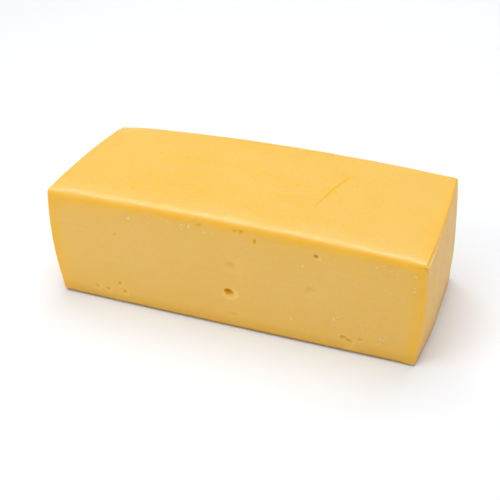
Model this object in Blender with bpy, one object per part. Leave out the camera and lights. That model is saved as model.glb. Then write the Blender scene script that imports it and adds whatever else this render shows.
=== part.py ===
"""A block of cheddar: one solid, +X to its right end, -Y to its shown long side, +Z up.

The block is drawn as a box with rounded edges and then settled: its top crowns and runs
out of level, its ends belly out, and its long sides draw in a little. Eyes, dents and a
scored line are cut into it, and torn flakes stand on it. Lengths are in metres.
"""

import math

import bmesh
import bpy
from mathutils import Vector

# Size of the squared block, before it settles
LENGTH = 0.200
WIDTH = 0.0844
HEIGHT = 0.0612
EDGE_RADIUS = 0.0022
EDGE_STEPS = 3

# Rows of faces along, across and up the block
CELLS_ALONG = 22
CELLS_ACROSS = 10
CELLS_UP = 8

# Top: its crown each way, and how far it is out of level at its edges
CROWN_ALONG = 0.0024
CROWN_ACROSS = 0.0008
TOP_FALLS_TO_RIGHT = 0.00185
TOP_RISES_TO_BACK = 0.0025

# Each upright side: lean is how far its foot stands in, belly_up bows it between foot and
# top, belly_across bows it between its two edges, and swing turns it about the upright
SIDES = {
    "right": {"lean": 0.0008, "belly_up": 0.0016, "belly_across": 0.0010, "swing": -0.0022},
    "left": {"lean": 0.0045, "belly_up": 0.0037, "belly_across": 0.0012, "swing": -0.0007},
    "back": {"lean": -0.0009, "belly_up": -0.0013, "belly_across": 0.0026, "swing": 0.0030},
    "front": {"lean": -0.0007, "belly_up": -0.0012, "belly_across": 0.0005, "swing": 0.0},
}

# Hollows in the long front side: place along and up, width, height, depth, and how far
# the rim flares, from 0 for a steep wall to nearly 1 for a shallow dish
FRONT_HOLLOWS = {
    "large_eye": (0.0025, 0.0205, 0.0047, 0.0043, 0.0030, 0.15),
    "small_eye": (0.0474, 0.0522, 0.0022, 0.0020, 0.0014, 0.20),
    "small_eye_dimple": (0.0474, 0.0522, 0.0058, 0.0050, 0.0003, 0.85),
    "middle_dent": (0.0037, 0.0363, 0.0060, 0.0050, 0.0005, 0.80),
    "right_dent": (0.0452, 0.0324, 0.0066, 0.0044, 0.0006, 0.75),
    "foot_pit_1": (-0.0764, 0.0072, 0.0016, 0.0014, 0.0006, 0.50),
    "foot_pit_2": (-0.0695, 0.0071, 0.0018, 0.0013, 0.0006, 0.50),
    "foot_pit_3": (-0.0613, 0.0117, 0.0016, 0.0015, 0.0008, 0.40),
    "foot_pit_4": (-0.0590, 0.0072, 0.0024, 0.0018, 0.0009, 0.40),
    "foot_dent": (0.0049, 0.0080, 0.0040, 0.0030, 0.0004, 0.70),
    "twin_pit_left": (0.0617, 0.0084, 0.0030, 0.0024, 0.0009, 0.40),
    "twin_pit_right": (0.0655, 0.0068, 0.0032, 0.0026, 0.0010, 0.40),
    "faint_pit": (0.0712, 0.0090, 0.0020, 0.0016, 0.0004, 0.70),
    "rim_notch": (0.0168, 0.0530, 0.0011, 0.0028, 0.0007, 0.30),
    "rim_pit_1": (0.0064, 0.0574, 0.0016, 0.0014, 0.0005, 0.50),
    "rim_pit_2": (0.0098, 0.0568, 0.0018, 0.0014, 0.0005, 0.50),
    "rim_slot": (-0.0125, 0.0561, 0.0030, 0.0015, 0.0006, 0.50),
}

# Torn flakes on the front: place along and up, width and height
FRONT_FLAKES = {
    "flake_foot": (0.0800, 0.0085, 0.0024, 0.0030),
    "flake_foot_tail": (0.0826, 0.0117, 0.0030, 0.0012),
    "flake_right_1": (0.0946, 0.0433, 0.0013, 0.0028),
    "flake_right_2": (0.0887, 0.0378, 0.0020, 0.0013),
    "flake_rim_right": (0.0763, 0.0532, 0.0022, 0.0013),
    "flake_rim_left": (-0.0192, 0.0535, 0.0026, 0.0013),
    "flake_far_left": (-0.0500, 0.0530, 0.0030, 0.0010),
    "flake_sliver": (0.0560, 0.0152, 0.0024, 0.0011),
}
FLAKE_PROUD = 0.00022

# Scored line across the top: its two ends and the point that bends it, seen from above
SCORE_BACK_END = Vector((0.0456, 0.0201))
SCORE_BEND = Vector((0.0399, 0.0045))
SCORE_FRONT_END = Vector((0.0376, -0.0166))
SCORE_HALF_WIDTH = 0.0006
SCORE_DEPTH = 0.00035
SCORE_STEPS = 10
SCORE_SIDES = 8

SPHERE_SEGMENTS = 12
SPHERE_RINGS = 8

CHEESE_COLOUR = (0.75, 0.46, 0.12, 1.0)
CHEESE_ROUGHNESS = 0.55


def clear_scene():
    """Remove every object, so the part stands alone."""
    for thing in list(bpy.data.objects):
        bpy.data.objects.remove(thing, do_unlink=True)


def side_offset(side, across, up):
    """How far a side stands out at a place on it: across is -1 to 1, up is 0 to 1."""
    shape = SIDES[side]
    lean = shape["lean"] * (up - 1.0)
    belly = shape["belly_up"] * 4.0 * up * (1.0 - up)
    bow = shape["belly_across"] * (1.0 - across * across)
    return lean + belly + bow + shape["swing"] * across


def settle(point):
    """Move a point of the squared block to where it lies in the settled one."""
    along = point.x / (LENGTH / 2)
    across = point.y / (WIDTH / 2)
    up = point.z / HEIGHT
    end = "right" if along > 0 else "left"
    crown = CROWN_ALONG * (1 - along * along) + CROWN_ACROSS * (1 - across * across)
    level = TOP_RISES_TO_BACK * across - TOP_FALLS_TO_RIGHT * along
    if across > 0:
        outward = side_offset("back", along, up)
    else:
        outward = side_offset("front", along, up)
    return Vector((
        point.x + along * side_offset(end, across, up),
        point.y + across * outward,
        point.z + up * (crown + level),
    ))


def stations(half_span, cells):
    """Evenly spaced cutting planes between the two rounded edges."""
    flat = half_span - EDGE_RADIUS
    return [-flat + 2 * flat * step / cells for step in range(1, cells)]


def block_mesh():
    """The settled block with its rounded edges, and the shift that centres its foot."""
    mesh = bmesh.new()
    bmesh.ops.create_cube(mesh, size=1.0)
    bmesh.ops.scale(mesh, vec=(LENGTH, WIDTH, HEIGHT), verts=mesh.verts)
    bmesh.ops.translate(mesh, vec=(0, 0, HEIGHT / 2), verts=mesh.verts)
    bmesh.ops.bevel(
        mesh, geom=mesh.edges[:], offset=EDGE_RADIUS, offset_type="OFFSET",
        segments=EDGE_STEPS, profile=0.5, affect="EDGES", clamp_overlap=True,
    )
    middle = Vector((0, 0, HEIGHT / 2))
    spans = (
        (Vector((1, 0, 0)), LENGTH / 2, CELLS_ALONG),
        (Vector((0, 1, 0)), WIDTH / 2, CELLS_ACROSS),
        (Vector((0, 0, 1)), HEIGHT / 2, CELLS_UP),
    )
    for axis, half_span, cells in spans:
        for station in stations(half_span, cells):
            bmesh.ops.bisect_plane(
                mesh, geom=mesh.verts[:] + mesh.edges[:] + mesh.faces[:],
                plane_co=middle + axis * station, plane_no=axis,
            )
    for vert in mesh.verts:
        vert.co = settle(vert.co)
    lowest = Vector(min(v.co[i] for v in mesh.verts) for i in range(3))
    highest = Vector(max(v.co[i] for v in mesh.verts) for i in range(3))
    shift = -(lowest + highest) / 2
    shift.z = 0.0
    bmesh.ops.translate(mesh, vec=shift, verts=mesh.verts)
    return mesh, shift


def front_point(along, up, shift):
    """A point on the settled front side."""
    return settle(Vector((along, -WIDTH / 2, up))) + shift


def top_point(along, across, shift):
    """A point on the settled top."""
    return settle(Vector((along, across, HEIGHT))) + shift


def add_ball(mesh, centre, radii):
    """Add an ellipsoid to a mesh."""
    ball = bmesh.ops.create_uvsphere(
        mesh, u_segments=SPHERE_SEGMENTS, v_segments=SPHERE_RINGS, radius=1.0,
    )
    for vert in ball["verts"]:
        vert.co = Vector(vert.co[i] * radii[i] for i in range(3)) + centre


def add_hollow(mesh, place, size, shift):
    """Add the ball that cuts one hollow of a given mouth, depth and flare."""
    along, up = place
    width, height, depth, flare = size
    reach = depth / (1.0 - flare)
    widen = 1.0 / math.sqrt(1.0 - flare * flare)
    mouth = front_point(along, up, shift)
    centre = mouth - Vector((0, flare * reach, 0))
    add_ball(mesh, centre, (width / 2 * widen, reach, height / 2 * widen))


def add_flake(mesh, place, size, shift):
    """Add one low flake, half sunk in the front side."""
    along, up = place
    width, height = size
    add_ball(mesh, front_point(along, up, shift), (width / 2, FLAKE_PROUD, height / 2))


def score_centre(step, shift):
    """A point along the scored line, on the top."""
    t = step / SCORE_STEPS
    seen = (
        SCORE_BACK_END * (1 - t) ** 2
        + SCORE_BEND * 2 * t * (1 - t)
        + SCORE_FRONT_END * t ** 2
    )
    return top_point(seen.x, seen.y, shift)


def add_score(mesh, shift):
    """Add the tapered rod, laid along the top, that cuts the scored line."""
    ring_before = None
    for step in range(SCORE_STEPS + 1):
        centre = score_centre(step, shift)
        swell = math.sqrt(math.sin(math.pi * (0.06 + 0.88 * step / SCORE_STEPS)))
        ring = []
        for side in range(SCORE_SIDES):
            turn = 2 * math.pi * (side + 0.5) / SCORE_SIDES
            across = SCORE_HALF_WIDTH * swell * math.cos(turn)
            down = SCORE_DEPTH * swell * math.sin(turn)
            ring.append(mesh.verts.new(centre + Vector((across, 0, down))))
        if ring_before is None:
            mesh.faces.new(reversed(ring))
        else:
            for side in range(SCORE_SIDES):
                after = (side + 1) % SCORE_SIDES
                mesh.faces.new((ring_before[side], ring_before[after], ring[after], ring[side]))
        ring_before = ring
    mesh.faces.new(ring_before)
    bmesh.ops.recalc_face_normals(mesh, faces=mesh.faces)


def mesh_object(name, mesh):
    """Make an object of a bmesh and free the bmesh."""
    data = bpy.data.meshes.new(name)
    mesh.to_mesh(data)
    mesh.free()
    thing = bpy.data.objects.new(name, data)
    bpy.context.scene.collection.objects.link(thing)
    return thing


def add_boolean(block, tool, operation):
    """Cut or join a tool object with the block, and keep the tool out of the model."""
    tool.hide_render = True
    tool.display_type = "WIRE"
    boolean = block.modifiers.new(tool.name, "BOOLEAN")
    boolean.operation = operation
    boolean.solver = "EXACT"
    boolean.use_self = True
    boolean.object = tool


def cheese_material():
    """Pale orange-yellow, matte and unpolished."""
    material = bpy.data.materials.new("cheddar")
    material.use_nodes = True
    shader = material.node_tree.nodes["Principled BSDF"]
    shader.inputs["Base Color"].default_value = CHEESE_COLOUR
    shader.inputs["Roughness"].default_value = CHEESE_ROUGHNESS
    shader.inputs["Metallic"].default_value = 0.0
    return material


def build():
    """Make the cheese block."""
    clear_scene()
    mesh, shift = block_mesh()
    block = mesh_object("cheese_block", mesh)
    block.data.materials.append(cheese_material())

    hollows = bmesh.new()
    for along, up, width, height, depth, flare in FRONT_HOLLOWS.values():
        add_hollow(hollows, (along, up), (width, height, depth, flare), shift)
    score = bmesh.new()
    add_score(score, shift)
    flakes = bmesh.new()
    for along, up, width, height in FRONT_FLAKES.values():
        add_flake(flakes, (along, up), (width, height), shift)

    add_boolean(block, mesh_object("hollow_cutter", hollows), "DIFFERENCE")
    add_boolean(block, mesh_object("score_cutter", score), "DIFFERENCE")
    add_boolean(block, mesh_object("flake_shapes", flakes), "UNION")
    block.data.shade_smooth()
    block.data.set_sharp_from_angle(angle=math.radians(35))


build()
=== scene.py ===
"""Looks of a block of cheddar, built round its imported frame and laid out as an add-on.

The block is modelled squared, as a box with rounded edges, and then settled: its top crowns
and runs out of level, its ends belly out, and eyes, dents and a scored line sink into it.
Lengths are in metres, +X is the block's right end, -Y its shown long side, +Z up.
"""

import math
import random
from collections import namedtuple

import bpy
import numpy as np
from mathutils import Matrix, Vector


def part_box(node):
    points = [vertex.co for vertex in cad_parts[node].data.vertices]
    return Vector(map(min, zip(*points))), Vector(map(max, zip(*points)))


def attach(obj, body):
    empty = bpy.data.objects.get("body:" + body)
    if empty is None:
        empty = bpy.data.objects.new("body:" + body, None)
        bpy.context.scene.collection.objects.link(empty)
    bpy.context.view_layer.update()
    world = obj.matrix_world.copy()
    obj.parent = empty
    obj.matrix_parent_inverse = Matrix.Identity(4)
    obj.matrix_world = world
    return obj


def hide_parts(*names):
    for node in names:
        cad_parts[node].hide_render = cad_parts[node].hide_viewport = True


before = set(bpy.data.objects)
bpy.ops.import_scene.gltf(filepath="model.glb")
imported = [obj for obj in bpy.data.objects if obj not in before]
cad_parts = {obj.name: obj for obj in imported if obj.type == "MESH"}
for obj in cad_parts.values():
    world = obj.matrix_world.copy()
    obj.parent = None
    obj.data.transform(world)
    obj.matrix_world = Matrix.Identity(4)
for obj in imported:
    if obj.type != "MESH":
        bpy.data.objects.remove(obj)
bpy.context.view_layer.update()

bl_info = {
    "name": "Cheddar block",
    "version": (1, 0, 0),
    "blender": (4, 5, 0),
    "location": "3D View > Sidebar > Cheddar",
    "description": "Models a block of cheddar with its eyes, torn flakes and studio stage",
    "category": "Add Mesh",
}

BODY = "root"
NODE = "cheese_block"
BLOCK_NAME = "cheddar_block"

# Each upright side of the settled block: lean is how far its foot stands in, belly_up bows
# it between foot and top, belly_across between its two edges, and swing turns it
SIDES = {
    "right": {"lean": 0.0008, "belly_up": 0.0016, "belly_across": 0.0010, "swing": -0.0022},
    "left": {"lean": 0.0045, "belly_up": 0.0037, "belly_across": 0.0012, "swing": -0.0007},
    "back": {"lean": -0.0009, "belly_up": -0.0013, "belly_across": 0.0026, "swing": 0.0030},
    "front": {"lean": -0.0007, "belly_up": -0.0012, "belly_across": 0.0005, "swing": 0.0},
}

# The axis that runs along each upright side, the axis out of it, and which way is out
SIDE_AXES = {
    "front": (0, 1, -1),
    "back": (0, 1, 1),
    "left": (1, 0, -1),
    "right": (1, 0, 1),
}

# A hollow in an upright side: its place along and up, its mouth, its depth, the power of its
# profile, from 0.5 for a bowl to 2 for a dent with a soft rim, where in its mouth it is
# deepest, from -1 to 1 each way, and how strong the painted highlight is on the lit lower right
# of the ring round it
Hollow = namedtuple(
    "Hollow", "along up width height depth power deepest ring", defaults=(1.2, (0.0, 0.0), 0.0),
)

HOLLOWS = {
    "front": {
        "large_eye": Hollow(0.0023, 0.0200, 0.0050, 0.0038, 0.0024, 0.8, (-0.26, 0.26), 1.0),
        "large_eye_rim": Hollow(0.0030, 0.0198, 0.0100, 0.0090, 0.0004, 1.8),
        "small_eye": Hollow(0.0474, 0.0516, 0.0027, 0.0021, 0.0012, 0.9, (-0.10, 0.20), 1.0),
        "small_eye_rim": Hollow(0.0474, 0.0516, 0.0070, 0.0062, 0.0003, 1.8),
        "middle_dent": Hollow(0.0037, 0.0361, 0.0070, 0.0054, 0.0006, 2.0, (-0.1, 0.1), 0.2),
        "right_dent": Hollow(0.0446, 0.0315, 0.0082, 0.0056, 0.0008, 2.0, (-0.1, 0.1), 0.2),
        "foot_pit_1": Hollow(-0.0763, 0.0073, 0.0034, 0.0026, 0.0006, 1.4, (0.0, 0.2), 0.3),
        "foot_pit_2": Hollow(-0.0695, 0.0071, 0.0026, 0.0020, 0.0006, 1.2, (0.0, 0.2), 0.5),
        "foot_pit_3": Hollow(-0.0614, 0.0116, 0.0023, 0.0020, 0.0007, 1.1, (0.0, 0.2), 0.5),
        "foot_pit_4": Hollow(-0.0592, 0.0071, 0.0030, 0.0023, 0.0008, 1.1, (0.1, 0.2), 0.6),
        "foot_dent": Hollow(0.0049, 0.0080, 0.0044, 0.0032, 0.0004, 1.6),
        "twin_pit_left": Hollow(0.0623, 0.0082, 0.0040, 0.0028, 0.0008, 1.3, (0.0, 0.2), 0.4),
        "twin_pit_right": Hollow(0.0650, 0.0069, 0.0042, 0.0032, 0.0009, 1.3, (0.1, 0.2), 0.5),
        "faint_pit": Hollow(0.0707, 0.0092, 0.0028, 0.0020, 0.0005, 1.6, (0.0, 0.1), 0.2),
        "rim_notch": Hollow(0.0168, 0.0528, 0.0018, 0.0040, 0.0006, 1.5),
        "rim_pit_1": Hollow(0.0067, 0.0566, 0.0026, 0.0021, 0.0005, 1.5),
        "rim_pit_2": Hollow(0.0099, 0.0566, 0.0030, 0.0022, 0.0006, 1.5),
        "rim_slot": Hollow(-0.0125, 0.0559, 0.0036, 0.0019, 0.0006, 1.4),
        "faint_spot": Hollow(-0.0604, 0.0408, 0.0030, 0.0028, 0.0003, 1.8),
        "corner_spot": Hollow(0.0979, 0.0110, 0.0018, 0.0018, 0.0004, 1.6),
    },
    "back": {
        "eye": Hollow(-0.0310, 0.0375, 0.0040, 0.0036, 0.0022, 0.6, (0.2, 0.3), 0.7),
        "eye_rim": Hollow(-0.0310, 0.0372, 0.0084, 0.0076, 0.0003, 1.8),
        "dent": Hollow(0.0240, 0.0262, 0.0076, 0.0050, 0.0006, 1.6, (0.1, 0.2), 0.2),
        "pit_1": Hollow(0.0615, 0.0112, 0.0032, 0.0024, 0.0008, 1.0, (0.0, 0.3), 0.4),
        "pit_2": Hollow(0.0672, 0.0088, 0.0024, 0.0019, 0.0006, 1.1, (0.0, 0.3), 0.4),
        "rim_pit": Hollow(-0.0655, 0.0560, 0.0028, 0.0018, 0.0006, 1.1),
        "rim_slot": Hollow(0.0410, 0.0548, 0.0036, 0.0017, 0.0006, 1.1),
    },
    "left": {
        "pit_1": Hollow(-0.0140, 0.0180, 0.0028, 0.0024, 0.0008, 1.0, (0.0, 0.3), 0.3),
        "pit_2": Hollow(0.0195, 0.0405, 0.0022, 0.0020, 0.0006, 1.1, (0.0, 0.3), 0.3),
    },
}

# Scored lines in the top, seen from above: the two ends with the point that bends the line
# between them, and the width
SCORES = {
    "long": ((0.0456, 0.0201), (0.0399, 0.0045), (0.0374, -0.0180), 0.0018),
    "branch": ((0.0408, 0.0036), (0.0424, 0.0028), (0.0442, 0.0031), 0.0012),
}
SCORE_STEPS = 24

# Small marks on the top: place along and across, and radius
SPECKS = {
    "by_score_1": (0.0433, 0.0072, 0.00034),
    "by_score_2": (0.0466, 0.0118, 0.00032),
    "right": (0.0732, -0.0126, 0.00028),
    "front": (0.0507, -0.0230, 0.00032),
}
STAINS = {
    "left_front": (-0.0560, -0.0278, 0.0014),
    "left_back": (-0.0594, 0.0123, 0.0009),
    "left_middle": (-0.0547, 0.0047, 0.0008),
    "right_front": (0.0556, -0.0246, 0.0010),
    "right_back": (0.0606, -0.0164, 0.0008),
}

# Torn spots on an upright side: place along and up, how far each way the flakes lie, how
# many there are, and the length of the longest
TORN_SPOTS = {
    "front": {
        "left_rim": (-0.0520, 0.0526, 0.0036, 0.0010, 4, 0.0026),
        "left_rim_curl": (-0.0421, 0.0546, 0.0022, 0.0005, 3, 0.0028),
        "rim_left_of_middle": (-0.0297, 0.0544, 0.0009, 0.0009, 2, 0.0020),
        "rim_middle_left": (-0.0222, 0.0530, 0.0018, 0.0010, 4, 0.0028),
        "rim_middle_right": (-0.0178, 0.0545, 0.0018, 0.0016, 4, 0.0028),
        "rim_right_of_middle": (-0.0074, 0.0532, 0.0024, 0.0010, 5, 0.0026),
        "small_eye_side": (0.0413, 0.0452, 0.0010, 0.0010, 3, 0.0018),
        "above_small_eye_side": (0.0422, 0.0492, 0.0005, 0.0005, 1, 0.0014),
        "dent_side": (0.0386, 0.0360, 0.0012, 0.0006, 2, 0.0013),
        "lone": (0.0606, 0.0500, 0.0004, 0.0003, 1, 0.0013),
        "foot_row": (0.0320, 0.0126, 0.0042, 0.0004, 5, 0.0016),
        "foot_crumb": (0.0413, 0.0077, 0.0004, 0.0003, 1, 0.0017),
        "far_crumb": (0.0164, 0.0124, 0.0004, 0.0003, 1, 0.0012),
        "slivers": (0.0570, 0.0168, 0.0014, 0.0032, 5, 0.0024),
        "low_right": (0.0725, 0.0180, 0.0034, 0.0034, 3, 0.0014),
        "right_rim": (0.0820, 0.0536, 0.0060, 0.0016, 9, 0.0024),
        "right_rim_low": (0.0792, 0.0485, 0.0016, 0.0020, 4, 0.0020),
        "right_corner": (0.0946, 0.0524, 0.0010, 0.0009, 4, 0.0019),
        "right_edge": (0.0944, 0.0438, 0.0009, 0.0026, 7, 0.0019),
        "right_middle": (0.0887, 0.0378, 0.0013, 0.0010, 5, 0.0021),
        "right_centre": (0.0793, 0.0324, 0.0008, 0.0011, 3, 0.0017),
        "right_edge_low": (0.0966, 0.0280, 0.0006, 0.0056, 5, 0.0011),
        "large_flake_tail": (0.0826, 0.0117, 0.0024, 0.0004, 4, 0.0028),
        "scattered_right": (0.0600, 0.0300, 0.0380, 0.0240, 14, 0.0010),
        "scattered_left": (-0.0400, 0.0300, 0.0500, 0.0240, 10, 0.0009),
    },
    "back": {
        "rim_left": (-0.0450, 0.0545, 0.0090, 0.0020, 7, 0.0021),
        "rim_right": (0.0700, 0.0535, 0.0080, 0.0024, 7, 0.0019),
        "foot": (0.0300, 0.0110, 0.0120, 0.0020, 6, 0.0020),
        "scattered": (0.0000, 0.0300, 0.0850, 0.0240, 18, 0.0011),
    },
    "left": {
        "rim": (0.0100, 0.0520, 0.0180, 0.0020, 5, 0.0014),
        "scattered": (0.0000, 0.0300, 0.0340, 0.0220, 8, 0.0010),
    },
}

# The largest flakes of the front side: place along and up, length, and turn in degrees
LARGE_FLAKES = {
    "foot_flake": (0.0800, 0.0086, 0.0029, 50.0),
    "rim_chip_1": (-0.0096, 0.0521, 0.0020, 80.0),
    "rim_chip_2": (0.0763, 0.0532, 0.0023, 25.0),
    "rim_chip_3": (0.0799, 0.0552, 0.0017, 70.0),
    "eye_chip": (0.0411, 0.0450, 0.0019, -35.0),
}

# A torn flake 1 m long: its width and thickness, and how far it is curled, in degrees
FLAKE_SHAPES = {
    "crumb": (0.42, 0.08, 25.0),
    "sliver": (0.14, 0.06, 55.0),
    "hook": (0.15, 0.07, 120.0),
    "wisp": (0.10, 0.05, -75.0),
}
FLAKE_SEED = 11
FLAKE_RAGGED = 0.09
FLAKE_SMOOTH = 0.3

# How far a flake is sunk past its middle, how far it stays off the side's edges, and the
# shortest and longest of a spot's flakes as shares of the spot's own length
FLAKE_SINK = 0.00005
FLAKE_MARGIN = 0.0022
FLAKE_LENGTHS = (0.65, 1.50)

# Soft lights of the studio: where each stands and how wide it is
LIGHT_PLACES = {
    "top_light": ((0.0, 0.05, 1.10), 1.0),
    "back_light": ((0.0, 0.80, 0.80), 0.9),
    "front_light": ((0.0, -0.80, 0.95), 0.9),
    "front_left_light": ((-0.85, -0.85, 0.60), 0.9),
    "front_right_light": ((0.85, -0.85, 0.60), 0.9),
    "right_light": ((1.05, -0.15, 0.50), 0.9),
    "back_left_light": ((-0.75, 0.75, 0.80), 0.9),
}
LIGHT_AIM = (0.0, 0.0, 0.03)

# The floor's side, how much its dimmer patches are dimmed, and where from its middle it
# starts and ends its fade into the white surround
FLOOR_SPAN = 12.0
FLOOR_DIM = 0.99
FLOOR_FADE = (0.42, 0.90)
SENSOR_WIDTH = 36.0
CLIP_START = 0.01
CLIP_END = 50.0

# How finely the mesh is cut: across each rounded edge, in a cell by a hollow and in a cell
# by a mark of the top. Places nearer than the tolerance count as the same
EDGE_SEGMENTS = 6
HOLLOW_CUTS = 5
MARK_CUTS = 4
TOLERANCE = 1e-6

# How sharply the draws of the right corners gather at the end
CORNER_POWER = 8

# How much less the left end's edges are rounded at the top, and more at the foot
LEFT_TOP_TRIM = 0.0006
LEFT_FOOT_EASE = 0.0008

# Sways of the front top edge's rounding along it: share of the radius, waves and start
RADIUS_SWAYS = ((0.12, 21.0, 1.0), (0.08, 57.0, 0.0))

# How high the foot's edges curl up, and how far in from the sides the curl starts and is full
CURL_HEIGHT = 0.0060
CURL_REACH = (0.0080, 0.0010)

# Unevenness of the skin: size of its clouds and share of the waver, and the cloud value that
# leaves the skin in place
WAVERS = {"slow_waver": (0.030, 1.0), "fine_waver": (0.007, 0.35)}
WAVER_LEVEL = 0.9
WAVER_STEPS = 10
SHIFT_STEPS = 81

# Painted shade of the hollows, for their depth over their width, and the painted highlight ring
# round each, as the ring's place and width in reaches of the hollow's mouth
HOLLOW_SHADE = 2.6
HIGHLIGHT_RING_PLACE = 1.42
HIGHLIGHT_RING_WIDTH = 0.40
STAIN_SHARE = 0.7

# Bands of the squared block: the distances from an edge at which each starts and is full.
# The rounded edges are wider here than they end up
BANDS = {
    "end": (0.0032, 0.0010),
    "end_by_top": (0.0050, 0.0004),
    "end_by_front": (0.0070, 0.0004),
    "side": (0.0026, 0.0004),
    "top": (0.0016, 0.0004),
    # The rim, left_top, right_gold and left_gold bands: partly painted glow of light through the
    # edges, partly the skin's own tone
    "rim": (0.0075, 0.0030),
    "left_top": (0.0150, 0.0040),
    "right_gold": (0.0090, 0.0020),
    "left_gold": (0.0080, 0.0010),
    # The ridge_tail, ridge_end and corner_line bands shape painted highlights on the rounded edges
    "ridge_tail": (0.0150, 0.0030),
    "ridge_end": (0.0010, 0.0040),
    "corner_line": (0.0030, 0.0010),
    # The two foot bands: painted shade along the foot, where the block meets the table
    "foot_shade": (0.0080, 0.0045),
    "foot_shade_line": (0.0046, 0.0024),
}
RIM_TAIL_START = 0.003
RIM_TAIL_LENGTH = 0.0065
FOOT_RIM_SHARE = 1.25

# The painted highlight along the top's long edges: its place and width at the right end, how they
# change to the left end, and the width of the painted highlight line down the front right corner
RIDGE_RIGHT = (0.0030, 0.0015)
RIDGE_CHANGE = (-0.0009, 0.0012)
CORNER_LINE_WIDTH = 0.0022

# Noises of the materials: scale, the values that become 0 and 1, and detail
NOISES = {
    "patches": (75.0, 0.36, 0.66, 3.0),
    "mottle": (300.0, 0.32, 0.72, 3.0),
    "fine": (800.0, 0.34, 0.66, 2.0),
    "wide": (32.0, 0.35, 0.68, 3.0),
    "drags": (1.0, 0.50, 0.74, 2.0),
    "rim_uneven": (120.0, 0.25, 0.75, 3.0),
    "dots": (1300.0, 0.66, 0.74, 1.0),
    "dot_fields": (60.0, 0.5, 0.7, 3.0),
    "ridge_breaks": (1.0, 0.30, 0.62, 3.0),
    "streaks": (1.0, 0.34, 0.66, 4.0),
    "broad_streaks": (1.0, 0.34, 0.66, 2.0),
    "flake_patches": (900.0, 0.35, 0.65, 3.0),
    "floor_tone": (3.0, 0.3, 0.7, 3.0),
}

# Stretch and turn of the coordinates of the noises that differ along the block's axes
MAPPINGS = {
    "smears": ((0.55, 1.0, 1.0), (0.0, 0.0, 0.0)),
    "drags": ((26.0, 1.0, 900.0), (0.0, 0.05, 0.0)),
    "ridge_breaks": ((90.0, 420.0, 420.0), (0.0, 0.0, 0.0)),
    "streaks": ((1.0, 620.0, 42.0), (0.16, 0.0, 0.0)),
    "broad_streaks": ((1.0, 170.0, 26.0), (0.10, 0.0, 0.0)),
}

# How much each noise or mask counts in the cheese's colours and bumps; the ones that end in
# least or less are added or taken away
SHARES = {
    "mottle": 0.35,
    "patches": 0.55,
    "fine": 0.75,
    "pale": 0.40,
    "pale_less": 0.36,
    "drags": 0.80,
    "grains": 0.75,
    "smudges": 0.45,
    "rim_uneven": 0.35,
    "rim_least": 0.72,
    "dots": 0.45,
    "ridge_breaks": 0.50,
    "ridge_least": 0.55,
    "streaks": 0.6,
    "broad_streaks": 0.5,
    # Share of the painted shade along the foot
    "foot": 0.95,
    "score_dull": 0.6,
    "side_bump": 0.25,
    "end_bump": 0.12,
}

# Tints of the dry long sides, as shares of the dry colour's red, green and blue
DRY_TINTS = {
    "wide": (0.985, 0.965, 0.86),
    "drags": (1.02, 1.04, 1.22),
    "grains": (0.985, 0.955, 0.64),
    "smudges": (1.01, 1.02, 1.20),
}

# The grain of the skin, and how high each bump stands
GRAIN_SCALE = 900.0
GRAIN_DETAIL = 3.0
GRAIN_STRENGTH = 0.08
BUMP_HEIGHTS = {"grain": 0.0003, "drags": 0.0002, "streaks": 0.0004}

# Roughness in the smoothest and roughest mottles, shine of the plain and of the bared paste,
# and how light spreads under the skin: weight, reach of red, green and blue, and scale
PASTE_ROUGHNESS = (0.46, 0.60)
PASTE_SHINE = (0.45, 0.0)
PASTE_GLOW = (0.6, (1.0, 0.45, 0.12), 0.005)
FLAKE_ROUGHNESS = 0.6
FLAKE_SHINE = 0.15
FLAKE_GLOW = (0.3, (1.0, 0.5, 0.2), 0.001)
FLOOR_ROUGHNESS = 0.9
FLOOR_SHINE = 0.1


def length_property(name, description, default, low=0.0):
    """A length that a user would change."""
    return bpy.props.FloatProperty(
        name=name, description=description, default=default, min=low, unit="LENGTH",
    )


class CheddarSizes(bpy.types.PropertyGroup):
    """Sizes of the block that a user would change."""

    length: length_property("Length", "Length of the squared block", 0.200, 0.05)
    width: length_property("Width", "Depth of the squared block, front to back", 0.0844, 0.02)
    height: length_property("Height", "Height of the squared block", 0.0612, 0.02)
    cell: length_property("Cell", "Spacing of the mesh on the flat sides", 0.00125, 0.0005)
    edge_radius: length_property("Edge radius", "Rounding of the block's edges", 0.0019, 0.0005)
    worn_radius: length_property(
        "Worn edge radius", "Rounding of the front top edge at its left end", 0.0042, 0.0005,
    )
    eased_radius: length_property(
        "Eased edge radius", "Rounding of the front top edge", 0.0037, 0.0005,
    )
    foot_radius: length_property(
        "Foot radius", "Rounding of the edges that the block rests on", 0.0023, 0.0005,
    )
    crisp_radius: length_property(
        "Crisp edge radius", "Rounding of the edges of the freshly cut right end", 0.0011, 0.0005,
    )
    tucked_radius: length_property(
        "Tucked corner radius", "Rounding of the front right edge at its foot", 0.0021, 0.0005,
    )
    corner_wear: length_property(
        "Corner wear", "Extra rounding of the back left corner at the top", 0.0013,
    )
    corner_tuck: length_property(
        "Corner tuck", "How far the front right corner is drawn in at its foot", 0.0012,
    )
    corner_pull: length_property(
        "Corner pull", "How far the back right corner is drawn in at the top", 0.0006,
    )
    corner_push: length_property(
        "Corner push", "How far the front right corner stands out at the top", 0.0007,
    )
    foot_gap: length_property(
        "Foot gap", "How far the underside's edge stands off the table", 0.0002,
    )
    crown_along: length_property(
        "Crown along", "Rise of the top's middle over its ends", 0.0024, -0.01,
    )
    crown_across: length_property(
        "Crown across", "Rise of the top's middle over its long edges", 0.0008, -0.01,
    )
    top_falls_to_right: length_property(
        "Fall to the right", "How far the right end of the top is below level", 0.00185, -0.01,
    )
    top_rises_to_back: length_property(
        "Rise to the back", "How far the back of the top is above level", 0.0025, -0.01,
    )
    waver: length_property("Waver", "Height of the slow unevenness of the skin", 0.00022)
    score_depth: length_property("Score depth", "Depth of the scored lines on the top", 0.00024)


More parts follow.
